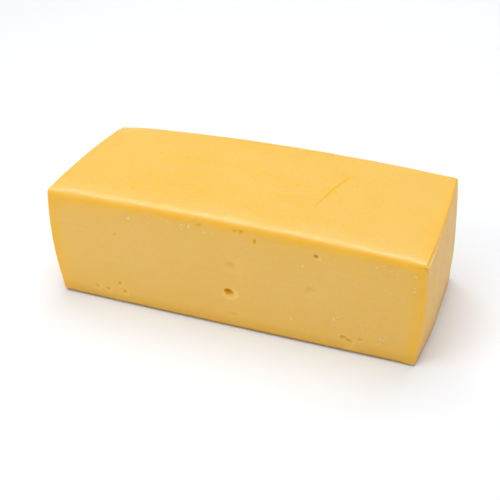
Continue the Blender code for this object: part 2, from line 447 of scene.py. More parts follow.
def colour_property(name, description, default):
    """A colour that a user would change."""
    return bpy.props.FloatVectorProperty(
        name=name, description=description, subtype="COLOR", size=3, min=0.0, max=1.0,
        default=default,
    )


class CheddarColours(bpy.types.PropertyGroup):
    """Colours of the cheese and its stage."""

    paste: colour_property("Paste", "Main colour of the waxy top", (0.72, 0.410, 0.017))
    paste_pale: colour_property("Pale paste", "Paler patches of the top", (0.73, 0.456, 0.082))
    dry: colour_property("Dry side", "Matte middle of the long sides", (0.775, 0.490, 0.116))
    # Partly painted glow of light coming out through the thin edges, partly the skin's own golden
    # tone
    rim: colour_property("Rim", "Golden band along the edges", (0.81, 0.455, 0.014))
    # Painted highlight along the top's long edges, on the rounding that catches the overhead light
    ridge: colour_property("Ridge", "Pale line along the top's long edges", (0.78, 0.585, 0.225))
    cut_end: colour_property("Cut end", "Beige cut face of the short ends", (0.97, 0.575, 0.163))
    cut_end_dark: colour_property("Cut end streak", "Streaks of the cut ends", (0.93, 0.503, 0.078))
    # Painted shade inside the eyes and hollows, a deeper orange than the paste
    hollow: colour_property("Hollow", "Inside of the eyes", (0.73, 0.350, 0.003))
    # Painted highlight on the lit lower right side of the rings round the eyes
    ring: colour_property("Ring", "Pale rings round the eyes", (0.83, 0.565, 0.185))
    score: colour_property("Score", "Bared paste in the scored lines", (0.745, 0.405, 0.0))
    # Painted shade along the foot, where the block meets the table
    foot: colour_property("Foot", "Damp line along the foot", (0.34, 0.155, 0.010))
    speck: colour_property("Speck", "Tiny dark specks on the top", (0.52, 0.310, 0.040))
    flake: colour_property("Flake", "Dry torn flakes", (0.92, 0.660, 0.290))
    floor: colour_property("Floor", "Pale floor", (0.835, 0.85, 0.88))


def light_property(name, where, default):
    """The power of a soft light that a user would change."""
    return bpy.props.FloatProperty(
        name=name, description="Power of the soft light " + where, default=default, min=0.0,
    )


class CheddarStage(bpy.types.PropertyGroup):
    """Camera and light of the studio."""

    lens: bpy.props.FloatProperty(
        name="Lens", description="Focal length on a 36 mm wide sensor", default=72.0, min=10.0,
    )
    camera_place: bpy.props.FloatVectorProperty(
        name="Camera place", description="Where the camera stands", subtype="TRANSLATION",
        unit="LENGTH", size=3, default=(0.1822, -0.4353, 0.2884),
    )
    camera_turn: bpy.props.FloatVectorProperty(
        name="Camera turn", description="Azimuth, elevation and roll of the view, in degrees",
        size=3, default=(23.175, 29.498, -1.085),
    )
    sky: bpy.props.FloatProperty(
        name="Sky", description="Strength of the surround's light", default=0.0, min=0.0,
    )
    top_light: light_property("Top light", "overhead", 9.0)
    back_light: light_property("Back light", "behind", 4.1)
    front_light: light_property("Front light", "in front", 4.4)
    front_left_light: light_property("Front left light", "at the front left corner", 6.3)
    front_right_light: light_property("Front right light", "at the front right corner", 1.6)
    right_light: light_property("Right light", "at the right", 1.4)
    back_left_light: light_property("Back left light", "at the back left corner", 3.2)


def deselect_everything():
    """Leave object mode with nothing selected, so an operator acts on its own piece only."""
    if bpy.context.object and bpy.context.object.mode != "OBJECT":
        bpy.ops.object.mode_set(mode="OBJECT")
    bpy.ops.object.select_all(action="DESELECT")


def smooth_step(start, end, value):
    """0 at start, 1 at end, and a smooth change between, for arrays; start may be the larger."""
    t = np.clip((value - start) / (end - start), 0.0, 1.0)
    return t * t * (3.0 - 2.0 * t)


def read_places(mesh):
    """The mesh's vertices as an array."""
    flat = np.empty(len(mesh.vertices) * 3)
    mesh.vertices.foreach_get("co", flat)
    return flat.reshape(-1, 3)


def write_places(mesh, places):
    """Put the mesh's vertices at an array's places."""
    mesh.vertices.foreach_set("co", places.astype(np.float32).ravel())
    mesh.update()


def half_sizes(sizes):
    """Half the squared block's length, width and height."""
    return np.array([sizes.length, sizes.width, sizes.height]) / 2


def side_offset(side, across, up):
    """How far a side stands out at a place on it: across is -1 to 1, up is 0 to 1."""
    shape = SIDES[side]
    lean = shape["lean"] * (up - 1.0)
    belly = shape["belly_up"] * 4.0 * up * (1.0 - up)
    bow = shape["belly_across"] * (1.0 - across * across)
    return lean + belly + bow + shape["swing"] * across


def settle(places, sizes):
    """Move points of the squared block to where they lie in the settled one."""
    along = places[:, 0] / (sizes.length / 2)
    across = places[:, 1] / (sizes.width / 2)
    up = places[:, 2] / sizes.height
    crown = sizes.crown_along * (1 - along ** 2) + sizes.crown_across * (1 - across ** 2)
    level = sizes.top_rises_to_back * across - sizes.top_falls_to_right * along
    end = np.where(along > 0, side_offset("right", across, up), side_offset("left", across, up))
    side = np.where(across > 0, side_offset("back", along, up), side_offset("front", along, up))
    front_foot = smooth_step(-0.2, -1.0, across) * smooth_step(0.60, 0.0, up)
    back_head = smooth_step(0.3, 1.0, across) * smooth_step(0.2, 0.7, up)
    front_head = smooth_step(0.5, -1.0, across) * smooth_step(0.7, 1.0, up)
    drawn_in = sizes.corner_tuck * front_foot + sizes.corner_pull * back_head
    drawn_in -= sizes.corner_push * front_head
    return np.stack([
        places[:, 0] + along * end - drawn_in * np.clip(along, 0.0, 1.0) ** CORNER_POWER,
        places[:, 1] + across * side,
        places[:, 2] + up * (crown + level),
    ], axis=1)


def select_edges(mesh, rule):
    """In object mode, select the edges whose two ends pass a rule, and nothing else."""
    places = read_places(mesh)
    ends = np.empty(len(mesh.edges) * 2, dtype=np.int32)
    mesh.edges.foreach_get("vertices", ends)
    ends = ends.reshape(-1, 2)
    chosen = rule(places[ends[:, 0]], places[ends[:, 1]])
    mesh.vertices.foreach_set("select", np.zeros(len(mesh.vertices), dtype=bool))
    mesh.polygons.foreach_set("select", np.zeros(len(mesh.polygons), dtype=bool))
    mesh.edges.foreach_set("select", chosen)
    mesh.update()


def select_faces(mesh, rule):
    """In object mode, select the faces whose middle and normal pass a rule, nothing else."""
    count = len(mesh.polygons)
    middles = np.empty(count * 3)
    normals = np.empty(count * 3)
    mesh.polygons.foreach_get("center", middles)
    mesh.polygons.foreach_get("normal", normals)
    chosen = rule(middles.reshape(-1, 3), normals.reshape(-1, 3))
    mesh.vertices.foreach_set("select", np.zeros(len(mesh.vertices), dtype=bool))
    mesh.edges.foreach_set("select", np.zeros(len(mesh.edges), dtype=bool))
    mesh.polygons.foreach_set("select", chosen)
    mesh.update()


def subdivide_selected(kind, cuts):
    """Cut the edges or the faces that are selected of the active object's mesh."""
    kinds = ("VERT", "EDGE", "FACE")
    bpy.context.tool_settings.mesh_select_mode = [kind == each for each in kinds]
    bpy.ops.object.mode_set(mode="EDIT")
    bpy.ops.mesh.subdivide(number_cuts=cuts, smoothness=0.0)
    bpy.ops.object.mode_set(mode="OBJECT")


def parallel_to(axis, start, end, sizes):
    """True for the edges along one axis that lie between the rounded edges."""
    others = [i for i in range(3) if i != axis]
    step = np.abs(end - start)
    half = half_sizes(sizes)[axis]
    centre = (0.0, 0.0, sizes.height / 2)[axis]
    flat = half - sizes.worn_radius + TOLERANCE
    within = np.maximum(np.abs(start[:, axis] - centre), np.abs(end[:, axis] - centre)) < flat
    return (step[:, others].max(axis=1) < TOLERANCE) & within


def square_block(sizes):
    """A squared block with rounded edges and an even grid of cells on its sides."""
    deselect_everything()
    bpy.ops.mesh.primitive_cube_add(size=1.0, location=(0, 0, sizes.height / 2))
    block = bpy.context.object
    block.name = BLOCK_NAME
    block.data.name = BLOCK_NAME
    block.scale = (sizes.length, sizes.width, sizes.height)
    bpy.ops.object.transform_apply(location=True, rotation=True, scale=True)
    bpy.ops.object.mode_set(mode="EDIT")
    bpy.ops.mesh.select_all(action="SELECT")
    bpy.ops.mesh.bevel(
        offset=sizes.worn_radius, segments=EDGE_SEGMENTS, profile=0.5, affect="EDGES",
    )
    bpy.ops.object.mode_set(mode="OBJECT")
    for axis, half in enumerate(half_sizes(sizes)):
        cells = round(2 * (half - sizes.worn_radius) / sizes.cell)
        coarse = round(math.sqrt(cells))
        fine = round(cells / coarse)
        for pieces in (coarse, fine):
            select_edges(block.data, lambda a, b: parallel_to(axis, a, b, sizes))
            subdivide_selected("EDGE", pieces - 1)
    return block


def refine_details(block, sizes):
    """Cut finer cells where the hollows of the sides and the marks of the top will be."""
    for side, hollows in HOLLOWS.items():
        run, out, sign = SIDE_AXES[side]

        def near_hollow(middles, normals):
            chosen = np.zeros(len(middles), dtype=bool)
            for hollow in hollows.values():
                across = (middles[:, run] - hollow.along) / (hollow.width / 2 + sizes.cell)
                rise = (middles[:, 2] - hollow.up) / (hollow.height / 2 + sizes.cell)
                chosen |= across ** 2 + rise ** 2 < 1.0
            return chosen & (normals[:, out] * sign > 0.99)

        select_faces(block.data, near_hollow)
        subdivide_selected("FACE", HOLLOW_CUTS)

    def near_mark(middles, normals):
        chosen = np.zeros(len(middles), dtype=bool)
        for score in SCORES.values():
            chosen |= score_distance(middles, score)[0] < score[3] * 0.5 + sizes.cell * 0.6
        for along, across, radius in (*SPECKS.values(), *STAINS.values()):
            gap = np.hypot(middles[:, 0] - along, middles[:, 1] - across)
            chosen |= gap < radius * 1.5 + sizes.cell * 0.6
        return chosen & (normals[:, 2] > 0.99)

    select_faces(block.data, near_mark)
    subdivide_selected("FACE", MARK_CUTS)


def score_distance(places, score):
    """How far each place is from a scored line seen from above, and its share of the line."""
    t = np.linspace(0.0, 1.0, SCORE_STEPS + 1)[:, None]
    back, bend, front = (np.array(p) for p in score[:3])
    line = back * (1 - t) ** 2 + bend * 2 * t * (1 - t) + front * t ** 2
    best = np.full(len(places), 1.0)
    share = np.zeros(len(places))
    for step in range(SCORE_STEPS):
        start, run = line[step], line[step + 1] - line[step]
        off = places[:, :2] - start
        along = np.clip((off @ run) / (run @ run), 0.0, 1.0)
        gap = np.linalg.norm(off - along[:, None] * run, axis=1)
        nearer = gap < best
        best = np.where(nearer, gap, best)
        share = np.where(nearer, (step + along) / SCORE_STEPS, share)
    return best, share


def score_mask(places, score):
    """How much of a scored line is at each place: widest near its back end, then fading."""
    gap, share = score_distance(places, score)
    swell = smooth_step(-0.02, 0.06, share) * (1.0 - 0.45 * smooth_step(0.35, 0.95, share))
    fade = smooth_step(1.0, 0.86, share)
    half_width = score[3] / 2 * np.maximum(swell, 0.2)
    return np.clip(1 - (gap / half_width) ** 2, 0.0, 1.0) * swell * fade


def spot_mask(places, spots):
    """How much of any of some round spots on the top is at each place."""
    mask = np.zeros(len(places))
    for along, across, radius in spots.values():
        gap = np.hypot(places[:, 0] - along, places[:, 1] - across)
        mask = np.maximum(mask, np.exp(-(gap / radius) ** 2))
    return mask


def hollow_reach(along, up, hollow):
    """How far each place is out of a hollow: 0 at its deepest point, 1 at its mouth's edge."""
    across = (along - hollow.along) / (hollow.width / 2)
    rise = (up - hollow.up) / (hollow.height / 2)
    angle = np.arctan2(rise, across)
    phase = (hollow.along + hollow.up) * 1000.0
    uneven = 1.0 + 0.06 * np.sin(2 * angle + phase) + 0.04 * np.sin(3 * angle + 2.0 * phase)
    low_across, low_rise = hollow.deepest
    step_across = across / uneven - low_across
    step_rise = rise / uneven - low_rise
    squared = step_across ** 2 + step_rise ** 2
    inward = low_across * step_across + low_rise * step_rise
    inside = 1.0 - low_across ** 2 - low_rise ** 2
    return squared / np.maximum(np.sqrt(inward ** 2 + squared * inside) - inward, 1e-9)


def sink_hollows(squared, sizes):
    """How far the hollows push each place in, the painted shade inside them, and the painted
    highlight on their rings' lit side.
    """
    half = half_sizes(sizes)
    push = np.zeros_like(squared)
    sunk = np.zeros(len(squared))
    ring = np.zeros(len(squared))
    for side, hollows in HOLLOWS.items():
        run, out, sign = SIDE_AXES[side]
        on_side = squared[:, out] * sign > half[out] - TOLERANCE
        for hollow in hollows.values():
            reach = hollow_reach(squared[:, run], squared[:, 2], hollow)
            dish = np.clip(1.0 - reach ** 2, 0.0, 1.0) ** hollow.power * on_side
            deeper = hollow.depth * dish > np.abs(push[:, out])
            push[:, out] = np.where(deeper, -sign * hollow.depth * dish, push[:, out])
            # Painted shade inside the hollow, stronger for deeper hollows
            strength = min(1.0, HOLLOW_SHADE * hollow.depth / hollow.width)
            sunk = np.maximum(sunk, strength * smooth_step(0.25, 0.85, dish))
            # Painted highlight on the lower right of the ring, the side that faces the light
            low_right = (squared[:, run] - hollow.along) * -sign - (squared[:, 2] - hollow.up)
            facing = 0.5 + 0.5 * np.clip(low_right / hollow.width, -1.0, 1.0)
            highlight_halo = np.exp(-((reach - HIGHLIGHT_RING_PLACE) / HIGHLIGHT_RING_WIDTH) ** 2)
            highlight_halo = highlight_halo * hollow.ring * facing * on_side
            ring = np.maximum(ring, highlight_halo)
    return push, sunk, ring * (1.0 - sunk)


def edge_radii(local, half, sizes):
    """How far each place's edges are rounded along each axis, from its place off the middle."""
    along, across, up = (local / half).T
    front_top = smooth_step(0.3, 0.9, -across) * smooth_step(0.3, 0.9, up)
    worn = smooth_step(-0.20, 0.75, -along) * front_top
    crisp = smooth_step(0.90, 0.985, along)
    crisp_below = crisp * smooth_step(0.97, 0.85, up)
    foot = smooth_step(-0.80, -0.95, up)
    front_foot = smooth_step(0.75, 0.95, -across) * smooth_step(0.10, -0.85, up)
    tucked = smooth_step(0.85, 0.97, along) * front_foot
    left = smooth_step(0.90, 0.98, -along)
    back_left = smooth_step(0.84, 0.98, -along) * smooth_step(0.78, 0.96, across)
    back_left *= smooth_step(0.5, 0.95, up)

    endwise = sizes.edge_radius + (sizes.crisp_radius - sizes.edge_radius) * crisp
    endwise += (sizes.tucked_radius - endwise) * tucked
    endwise -= LEFT_TOP_TRIM * left * smooth_step(0.5, 0.9, up)
    endwise += LEFT_FOOT_EASE * left * smooth_step(-0.5, -0.95, up)
    endwise += sizes.corner_wear * back_left

    lengthwise = sizes.edge_radius + (sizes.eased_radius - sizes.edge_radius) * front_top
    lengthwise += (sizes.worn_radius - lengthwise) * worn
    sway = sum(size * np.sin(along * waves + start) for size, waves, start in RADIUS_SWAYS)
    lengthwise *= 1.0 + front_top * sway
    lengthwise += (sizes.edge_radius - lengthwise) * smooth_step(0.90, 0.985, -along)
    lengthwise += (sizes.foot_radius - lengthwise) * foot
    lengthwise += sizes.corner_wear * back_left

    acrosswise = lengthwise + (sizes.crisp_radius - lengthwise) * crisp
    acrosswise += (sizes.tucked_radius - acrosswise) * tucked
    lengthwise += (sizes.crisp_radius - lengthwise) * crisp_below
    return np.stack([endwise, acrosswise, lengthwise], axis=1)


def round_edges(squared, sizes):
    """Ease the even rounding of the squared block to each place's own radius."""
    half = half_sizes(sizes)
    centre = np.array([0.0, 0.0, half[2]])
    local = squared - centre
    radius = edge_radii(local, half, sizes)
    past = np.abs(local) - (half - sizes.worn_radius)
    eased = half - radius + past * radius / sizes.worn_radius
    return np.where(past > -TOLERANCE, np.sign(local) * eased, local) + centre


def foot_lift(squared, sizes):
    """How far the foot's edges curl up off the table."""
    inset = (half_sizes(sizes) - np.abs(squared))[:, :2].min(axis=1)
    low = smooth_step(CURL_HEIGHT, 0.0, squared[:, 2])
    return sizes.foot_gap * smooth_step(*CURL_REACH, inset) * low


def band(name, gap):
    """How much each place lies in one of the bands, from its distance to the band's edge."""
    return smooth_step(*BANDS[name], gap)


def edge_band(gap):
    """The golden band beside an edge, partly painted glow and partly skin tone: full near it, then
    fading with a long tail.
    """
    tail = np.exp(-np.maximum(gap - RIM_TAIL_START, 0) / RIM_TAIL_LENGTH)
    return 0.55 * band("rim", gap) + 0.45 * tail


def rim_glow_and_tone_mask(squared, gap, side, end, on_top, sizes):
    """The golden bands round the long sides and beside the top's two ends: partly painted glow of
    light through the thin edges, partly the skin's own golden tone.
    """
    half_length = sizes.length / 2
    to_top = sizes.height - squared[:, 2]
    golden = 1 - (
        (1 - edge_band(to_top)) * (1 - edge_band(gap[:, 0]))
        * (1 - edge_band(squared[:, 2] * FOOT_RIM_SHARE))
    )
    left_top = band("left_top", to_top) * smooth_step(-0.45, -0.90, squared[:, 0] / half_length)
    golden = 1 - (1 - golden) * (1 - 0.55 * left_top)
    right_gold = band("right_gold", half_length - squared[:, 0]) * on_top
    left_gold = band("left_gold", half_length + squared[:, 0]) * on_top
    top_gold = np.maximum(0.45 * right_gold * (1 - end), 0.40 * left_gold)
    return np.maximum(golden * side, top_gold)


def ridge_highlight_mask(squared, gap, on_top, sizes):
    """The painted highlights along the top's long edges and down the front right corner."""
    along = squared[:, 0] / (sizes.length / 2)
    to_front = squared[:, 1] + sizes.width / 2
    leftness = smooth_step(0.9, -0.9, along)
    place, width = (
        start + change * leftness for start, change in zip(RIDGE_RIGHT, RIDGE_CHANGE)
    )
    ridge = np.exp(-((gap[:, 1] - place) / width) ** 2) * on_top
    ridge = np.maximum(ridge, 0.26 * band("ridge_tail", gap[:, 1]) * on_top)
    ridge *= band("ridge_end", gap[:, 0])
    ridge *= np.where(squared[:, 1] > 0, smooth_step(-0.70, -0.95, along), 1.0)
    corner = np.exp(-(gap[:, 0] / CORNER_LINE_WIDTH) ** 2) * band("corner_line", to_front)
    corner *= smooth_step(0.0, 0.010, squared[:, 0]) * smooth_step(0.0, 0.008, squared[:, 2])
    corner *= smooth_step(0.0, 0.004, sizes.height - squared[:, 2])
    return np.maximum(ridge, 0.75 * corner)


def surface_masks(squared, sizes):
    """How much each place of the squared block belongs to each kind of surface and to the painted
    glow, highlight and shade bands.
    """
    half = half_sizes(sizes)
    gap = half - np.abs(squared - np.array([0.0, 0.0, half[2]]))
    up = squared[:, 2]
    to_top = sizes.height - up
    end = band("end", gap[:, 0])
    side = band("side", gap[:, 1]) * (1 - end)
    on_top = band("top", to_top)
    beside_edge = np.maximum(
        0.25 * band("end_by_top", to_top),
        0.40 * band("end_by_front", squared[:, 1] + half[1]),
    )
    pale = smooth_step(0.35, 0.80, np.abs(squared[:, 0]) / half[0]) * on_top
    right_gold = band("right_gold", half[0] - squared[:, 0]) * on_top
    # Painted shade along the foot, darkest in the lowest few millimetres
    foot = 0.12 * band("foot_shade", up) + 0.75 * band("foot_shade_line", up)
    return {
        "cut_end": end * (1 - beside_edge),
        "long_side": side,
        "rim": rim_glow_and_tone_mask(squared, gap, side, end, on_top, sizes),
        "ridge": ridge_highlight_mask(squared, gap, on_top, sizes),
        "pale": pale * (1 - right_gold),
        "foot": foot * (1 - 0.5 * end),
    }


def write_mask(mesh, name, values):
    """Store one number for each vertex, for the material to read."""
    layer = mesh.attributes.new(name, "FLOAT", "POINT")
    layer.data.foreach_set("value", values.astype(np.float32))


def waver_skin(block, sizes):
    """Give the skin its slow unevenness, above the foot, with two displace modifiers."""
    places = read_places(block.data)
    free = smooth_step(0.0, 0.010, places[:, 2])
    group = block.vertex_groups.new(name="free_of_table")
    for level in range(1, WAVER_STEPS + 1):
        low, high = (level - 0.5) / WAVER_STEPS, (level + 0.5) / WAVER_STEPS
        chosen = np.nonzero((free >= low) & (free < high))[0].tolist()
        if chosen:
            group.add(chosen, level / WAVER_STEPS, "REPLACE")
    for name, (scale, share) in WAVERS.items():
        clouds = bpy.data.textures.new(name, "CLOUDS")
        clouds.noise_scale = scale
        clouds.noise_depth = 2
        displace = block.modifiers.new(name, "DISPLACE")
        displace.texture = clouds
        displace.texture_coords = "LOCAL"
        displace.vertex_group = group.name
        displace.strength = sizes.waver * share * 2
        displace.mid_level = WAVER_LEVEL
        bpy.ops.object.modifier_apply(modifier=displace.name)
    block.vertex_groups.clear()


def new_material(name):
    """A material, its node tree, its shader and the object coordinates."""
    material = bpy.data.materials.new(name)
    material.use_nodes = True
    tree = material.node_tree
    place = tree.nodes.new("ShaderNodeTexCoord").outputs["Object"]
    return material, tree, tree.nodes["Principled BSDF"], place


def noise_mask(tree, source, name):
    """One of the noises on a vector, stretched to run from 0 to 1."""
    scale, low, high, detail = NOISES[name]
    noise = tree.nodes.new("ShaderNodeTexNoise")
    noise.inputs["Scale"].default_value = scale
    noise.inputs["Detail"].default_value = detail
    tree.links.new(source, noise.inputs["Vector"])
    spread = tree.nodes.new("ShaderNodeMapRange")
    spread.inputs["From Min"].default_value = low
    spread.inputs["From Max"].default_value = high
    tree.links.new(noise.outputs["Fac"], spread.inputs["Value"])
    return spread.outputs["Result"]


def mapped(tree, source, name):
    """Object coordinates with each axis stretched, and then turned."""
    stretch, turn = MAPPINGS[name]
    mapping = tree.nodes.new("ShaderNodeMapping")
    mapping.inputs["Scale"].default_value = stretch
    mapping.inputs["Rotation"].default_value = turn
    tree.links.new(source, mapping.inputs["Vector"])
    return mapping.outputs["Vector"]


def mix_colour(tree, factor, first, second):
    """Mix two colours, each a socket or a plain colour, by a socket."""
    mix = tree.nodes.new("ShaderNodeMix")
    mix.data_type = "RGBA"
    for name, value in (("Factor", factor), ("A", first), ("B", second)):
        socket = next(s for s in mix.inputs if s.name == name and s.enabled)
        if isinstance(value, bpy.types.NodeSocket):
            tree.links.new(value, socket)
        else:
            socket.default_value = (*value[:3], 1.0)
    return next(s for s in mix.outputs if s.enabled)


def mask_socket(tree, name):
    """A mask that was stored on the mesh."""
    attribute = tree.nodes.new("ShaderNodeAttribute")
    attribute.attribute_name = name
    return attribute.outputs["Fac"]


def arithmetic(tree, operation, first, second):
    """One step of arithmetic on sockets or numbers, kept between 0 and 1."""
    step = tree.nodes.new("ShaderNodeMath")
    step.operation = operation
    step.use_clamp = True
    for index, value in enumerate((first, second)):
        if isinstance(value, bpy.types.NodeSocket):
            tree.links.new(value, step.inputs[index])
        else:
            step.inputs[index].default_value = value
    return step.outputs["Value"]


def weighed(tree, name, source):
    """A noise or mask times its share."""
    return arithmetic(tree, "MULTIPLY", source, SHARES[name])


def ranged(tree, source, ends):
    """A mask turned into a value that runs from one number at 0 to another at 1."""
    spread = tree.nodes.new("ShaderNodeMapRange")
    spread.inputs["To Min"].default_value = ends[0]
    spread.inputs["To Max"].default_value = ends[1]
    tree.links.new(source, spread.inputs["Value"])
    return spread.outputs["Result"]


def add_bump(tree, height, distance, strength, before=None):
    """A bump on top of the one before it; the strength is a number or a socket."""
    bump = tree.nodes.new("ShaderNodeBump")
    bump.inputs["Distance"].default_value = distance
    tree.links.new(height, bump.inputs["Height"])
    if isinstance(strength, bpy.types.NodeSocket):
        tree.links.new(strength, bump.inputs["Strength"])
    else:
        bump.inputs["Strength"].default_value = strength
    if before is not None:
        tree.links.new(before, bump.inputs["Normal"])
    return bump.outputs["Normal"]


def let_light_in(shader, glow):
    """Set how light spreads under the skin."""
    for name, value in zip(("Weight", "Radius", "Scale"), glow):
        shader.inputs["Subsurface " + name].default_value = value


def top_colour(tree, patches, mottle, fine, colours):
    """Waxy paste of the top, in deeper and paler blotches."""
    blotches = weighed(tree, "mottle", mottle)
    for name, source in (
        ("patches", patches), ("fine", fine), ("pale", mask_socket(tree, "pale")),
    ):
        blotches = arithmetic(tree, "ADD", blotches, weighed(tree, name, source))
    blotches = arithmetic(tree, "SUBTRACT", blotches, SHARES["pale_less"])
    return mix_colour(tree, blotches, colours.paste, colours.paste_pale)


def side_colour(tree, place, drags, mottle, fine, colours):
    """Dry paste of the long sides, with drag marks, grains and smudges."""
    tints = {
        name: [channel * share for channel, share in zip(colours.dry, shares)]
        for name, shares in DRY_TINTS.items()
    }
    dry = mix_colour(tree, noise_mask(tree, place, "wide"), tints["wide"], colours.dry)
    for name, source in (("drags", drags), ("grains", fine), ("smudges", mottle)):
        dry = mix_colour(tree, weighed(tree, name, source), dry, tints[name])
    return dry


def add_rims(tree, place, colour, colours):
    """The golden rims of painted glow and skin tone, the golden dots and the painted highlight of
    the broken ridge, over a colour.
    """
    uneven = weighed(tree, "rim_uneven", noise_mask(tree, place, "rim_uneven"))
    uneven = arithmetic(tree, "ADD", uneven, SHARES["rim_least"])
    rim = arithmetic(tree, "MULTIPLY", mask_socket(tree, "rim"), uneven)
    colour = mix_colour(tree, rim, colour, colours.rim)
    dots = noise_mask(tree, place, "dots")
    dots = arithmetic(tree, "MULTIPLY", dots, noise_mask(tree, place, "dot_fields"))
    colour = mix_colour(tree, weighed(tree, "dots", dots), colour, colours.rim)
    breaks = noise_mask(tree, mapped(tree, place, "ridge_breaks"), "ridge_breaks")
    breaks = weighed(tree, "ridge_breaks", breaks)
    breaks = arithmetic(tree, "ADD", breaks, SHARES["ridge_least"])
    ridge = arithmetic(tree, "MULTIPLY", mask_socket(tree, "ridge"), breaks)
    return mix_colour(tree, ridge, colour, colours.ridge)


def end_colour(tree, place, streaks, colours):
    """Beige paste of the cut ends, with fine and broad streaks."""
    broad = noise_mask(tree, mapped(tree, place, "broad_streaks"), "broad_streaks")
    broad = weighed(tree, "broad_streaks", broad)
    grain = arithmetic(tree, "ADD", weighed(tree, "streaks", streaks), broad)
    return mix_colour(tree, grain, colours.cut_end_dark, colours.cut_end)


def add_cheddar_bumps(tree, shader, place, drags, streaks):
    """The skin's fine grain, the drag marks of the long sides and the streaks of the ends."""
    grain = tree.nodes.new("ShaderNodeTexNoise")
    grain.inputs["Scale"].default_value = GRAIN_SCALE
    grain.inputs["Detail"].default_value = GRAIN_DETAIL
    tree.links.new(place, grain.inputs["Vector"])
    normal = add_bump(tree, grain.outputs["Fac"], BUMP_HEIGHTS["grain"], GRAIN_STRENGTH)
    side_bump = weighed(tree, "side_bump", mask_socket(tree, "long_side"))
    normal = add_bump(tree, drags, BUMP_HEIGHTS["drags"], side_bump, normal)
    end_bump = weighed(tree, "end_bump", mask_socket(tree, "cut_end"))
    normal = add_bump(tree, streaks, BUMP_HEIGHTS["streaks"], end_bump, normal)
    tree.links.new(normal, shader.inputs["Normal"])


def cheddar_material(colours):
    """Cut cheddar: waxy top, drier middle of the sides, golden rims with painted glow, a beige cut
    end, painted highlights and painted shade.
    """
    material, tree, shader, place = new_material("cheddar")
    smears = mapped(tree, place, "smears")
    patches = noise_mask(tree, smears, "patches")
    mottle = noise_mask(tree, smears, "mottle")
    fine = noise_mask(tree, place, "fine")
    drags = noise_mask(tree, mapped(tree, place, "drags"), "drags")
    streaks = noise_mask(tree, mapped(tree, place, "streaks"), "streaks")

    top = top_colour(tree, patches, mottle, fine, colours)
    side = side_colour(tree, place, drags, mottle, fine, colours)
    colour = mix_colour(tree, mask_socket(tree, "long_side"), top, side)
    colour = add_rims(tree, place, colour, colours)
    end = end_colour(tree, place, streaks, colours)
    colour = mix_colour(tree, mask_socket(tree, "cut_end"), colour, end)
    # Painted shade along the foot
    foot = weighed(tree, "foot", mask_socket(tree, "foot"))
    colour = mix_colour(tree, foot, colour, colours.foot)
    # Painted highlight rings, painted shade in the hollows, then the bared paste of the scores and
    # the dark specks
    for mask, over in (
        ("ring", colours.ring), ("sunk", colours.hollow),
        ("score", colours.score), ("speck", colours.speck),
    ):
        colour = mix_colour(tree, mask_socket(tree, mask), colour, over)
    tree.links.new(colour, shader.inputs["Base Color"])

    tree.links.new(ranged(tree, mottle, PASTE_ROUGHNESS), shader.inputs["Roughness"])
    bared = weighed(tree, "score_dull", mask_socket(tree, "score"))
    bared = arithmetic(tree, "MAXIMUM", bared, mask_socket(tree, "sunk"))
    tree.links.new(ranged(tree, bared, PASTE_SHINE), shader.inputs["Specular IOR Level"])
    add_cheddar_bumps(tree, shader, place, drags, streaks)
    let_light_in(shader, PASTE_GLOW)
    return material


def flake_material(colours):
    """Dry torn flakes, paler than the paste."""
    material, tree, shader, place = new_material("torn_flake")
    patches = noise_mask(tree, place, "flake_patches")
    dull = [(a + b) / 2 for a, b in zip(colours.paste_pale, colours.flake)]
    colour = mix_colour(tree, patches, dull, colours.flake)
    tree.links.new(colour, shader.inputs["Base Color"])
    shader.inputs["Roughness"].default_value = FLAKE_ROUGHNESS
    shader.inputs["Specular IOR Level"].default_value = FLAKE_SHINE
    let_light_in(shader, FLAKE_GLOW)
    return material


def foot_shift(sizes):
    """The sideways move that centres the settled block on its CAD node's box."""
    half = half_sizes(sizes)[:2]
    steps = np.linspace(-1.0, 1.0, SHIFT_STEPS)
    low, high = [], []
    for axis in range(2):
        other = 1 - axis
        places = np.zeros((len(steps) ** 2 * 2, 3))
        grid_a, grid_b = (g.ravel() for g in np.meshgrid(steps, (steps + 1) / 2))
        for n, sign in enumerate((-1.0, 1.0)):
            rows = slice(n * len(grid_a), (n + 1) * len(grid_a))
            places[rows, axis] = sign * half[axis]
            places[rows, other] = grid_a * (half[other] - sizes.edge_radius)
            places[rows, 2] = sizes.edge_radius + grid_b * (sizes.height - 2 * sizes.edge_radius)
        settled = settle(places, sizes)
        low.append(settled[:, axis].min())
        high.append(settled[:, axis].max())
    node_low, node_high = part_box(NODE)
    middle = [(node_low[axis] + node_high[axis]) / 2 for axis in range(2)]
    return np.array([middle[axis] - (low[axis] + high[axis]) / 2 for axis in range(2)] + [0.0])


